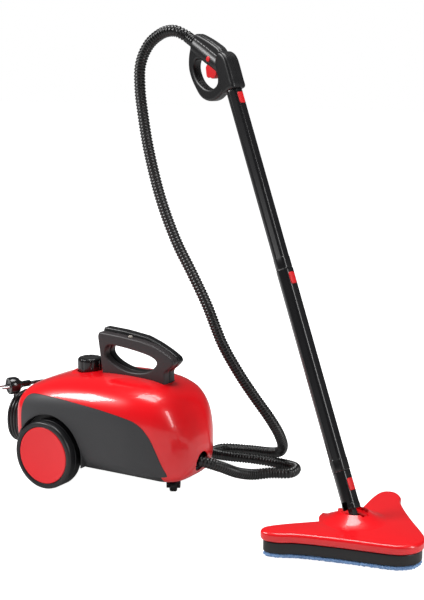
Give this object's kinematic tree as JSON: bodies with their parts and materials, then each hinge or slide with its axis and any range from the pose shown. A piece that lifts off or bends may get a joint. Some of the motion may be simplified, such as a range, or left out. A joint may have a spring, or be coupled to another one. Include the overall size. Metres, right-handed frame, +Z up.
{
  "type": "canister steam cleaner",
  "caption": "Wheeled canister steam cleaner with a corrugated hose, steam gun, two-piece wand and triangular mop head.",
  "frame": {"origin": "centre of the footprint on the floor, measured without the hose, the mains lead, its wound hank and the plug", "axes": "+Z up, +X the way the canister points (from the rear wheels to the nose), +Y to its left"},
  "size_m": [0.9436, 0.4842, 0.8724],
  "materials": {
    "red_gloss": "gloss",
    "grey_panel": "satin",
    "grey_handle": "satin",
    "black_satin": "satin",
    "steel": "satin",
    "brass": "satin",
    "rubber": "matte",
    "lamp_lens": "clear",
    "blue_cloth": "matte"
  },
  "bodies": {
    "cleaner_body": {"top_shell": "red_gloss", "gun_microswitch": "red_gloss", "side_panel_right": "grey_panel", "side_panel_left": "grey_panel", "handle_right": "grey_handle", "base_tray": "black_satin", "handle_left": "black_satin", "pressure_switch": "black_satin", "solenoid_valve": "black_satin", "hose_socket": "black_satin", "switch_bezel": "black_satin", "cord_gland": "black_satin", "cord_hook": "black_satin", "lower_tube": "black_satin", "upper_tube": "black_satin", "neck_socket": "black_satin", "gun_half_right": "black_satin", "gun_half_left": "black_satin", "mains_plug": "black_satin", "boiler_upper": "steel", "boiler_lower": "steel", "heating_element": "steel", "thermal_fuse": "steel", "stub_axle_right": "steel", "stub_axle_left": "steel", "lower_inner_pipe": "steel", "upper_inner_pipe": "steel", "roll_pin": "steel", "control_thermostat": "brass", "filler_neck": "brass", "steam_pipe_boiler": "brass", "steam_pipe_outlet": "brass", "gun_steam_pipe": "brass", "steam_hose": "rubber", "mains_lead": "rubber", "mains_lead_end": "rubber", "mains_hank": "rubber", "lamp_lens": "lamp_lens", "terminal_block": "lamp_lens"},
    "wheel_right_body": {"wheel_right": "black_satin", "wheel_disc_right": "red_gloss"},
    "wheel_left_body": {"wheel_left": "black_satin", "wheel_disc_left": "red_gloss"},
    "castor_fork_body": {"castor_fork": "black_satin", "castor_pin": "steel"},
    "castor_wheel_body": {"castor_wheel": "black_satin"},
    "cap_plug_body": {"cap_plug": "black_satin", "cap_seal": "rubber"},
    "cap_knob_body": {"cap_knob": "black_satin"},
    "rocker_body": {"rocker_switch": "red_gloss"},
    "trigger_body": {"trigger": "red_gloss"},
    "lock_button_body": {"lock_button": "red_gloss"},
    "button_neck_body": {"release_button_neck": "red_gloss"},
    "button_middle_body": {"release_button_middle": "red_gloss"},
    "button_upper_body": {"release_button_upper": "red_gloss"},
    "knuckle_body": {"knuckle": "black_satin"},
    "head_body": {"head_cover": "red_gloss", "head_base": "black_satin", "mop_pad": "blue_cloth", "pitch_pin": "steel"}
  },
  "joints": [
    {"name": "wheel_right_spin", "type": "hinge", "parent": "cleaner_body", "child": "wheel_right_body", "pos_m": [-0.301, -0.0744, 0.066], "axis": [0, 1, 0], "continuous": true},
    {"name": "wheel_left_spin", "type": "hinge", "parent": "cleaner_body", "child": "wheel_left_body", "pos_m": [-0.301, 0.1596, 0.066], "axis": [0, 1, 0], "continuous": true},
    {"name": "castor_swivel", "type": "hinge", "parent": "cleaner_body", "child": "castor_fork_body", "pos_m": [-0.088, 0.0426, 0.034], "axis": [0, 0, 1], "continuous": true},
    {"name": "castor_spin", "type": "hinge", "parent": "castor_fork_body", "child": "castor_wheel_body", "pos_m": [-0.07937, 0.02567, 0.012], "axis": [0.891, 0.454, 0], "continuous": true},
    {"name": "cap_lift", "type": "slide", "parent": "cleaner_body", "child": "cap_plug_body", "axis": [0, 0, 1], "range_m": [0, 0.0245]},
    {"name": "cap_turn", "type": "hinge", "parent": "cap_plug_body", "child": "cap_knob_body", "pos_m": [-0.284, 0.0426, 0.209], "axis": [0, 0, 1], "range_deg": [0, 1440]},
    {"name": "rocker_tilt", "type": "hinge", "parent": "cleaner_body", "child": "rocker_body", "pos_m": [-0.398, -0.0094, 0.128], "axis": [0, 1, 0], "range_deg": [-12, 0]},
    {"name": "trigger_pull", "type": "hinge", "parent": "cleaner_body", "child": "trigger_body", "pos_m": [-0.01494, 0.07988, 0.79673], "axis": [0.342, 0.9397, 0], "range_deg": [0, 9], "stiffness_Nm_per_rad": 0.06, "springref_deg": -14.32},
    {"name": "lock_slide", "type": "slide", "parent": "cleaner_body", "child": "lock_button_body", "axis": [0.342, 0.9397, 0], "range_m": [0, 0.003]},
    {"name": "press_neck", "type": "slide", "parent": "cleaner_body", "child": "button_neck_body", "axis": [-0.8551, 0.3112, -0.4147], "range_m": [0, 0.0025], "stiffness_N_per_m": 600, "springref_m": -0.002},
    {"name": "press_middle", "type": "slide", "parent": "cleaner_body", "child": "button_middle_body", "axis": [-0.8551, 0.3112, -0.4147], "range_m": [0, 0.0025], "stiffness_N_per_m": 600, "springref_m": -0.002},
    {"name": "press_upper", "type": "slide", "parent": "cleaner_body", "child": "button_upper_body", "axis": [-0.8551, 0.3112, -0.4147], "range_m": [0, 0.0025], "stiffness_N_per_m": 600, "springref_m": -0.002},
    {"name": "head_roll", "type": "hinge", "parent": "cleaner_body", "child": "knuckle_body", "pos_m": [0.3246, -0.04371, 0.06729], "axis": [0.8551, -0.3112, 0.4147], "range_deg": [-20, 20]},
    {"name": "head_pitch", "type": "hinge", "parent": "knuckle_body", "child": "head_body", "pos_m": [0.332, -0.0464, 0.05], "axis": [0.342, 0.9397, 0], "range_deg": [-24.5, 28]}
  ],
  "couplings": [
    {"joint": "cap_lift", "follows": "cap_turn", "m_per_rad": 0.00095493}
  ]
}
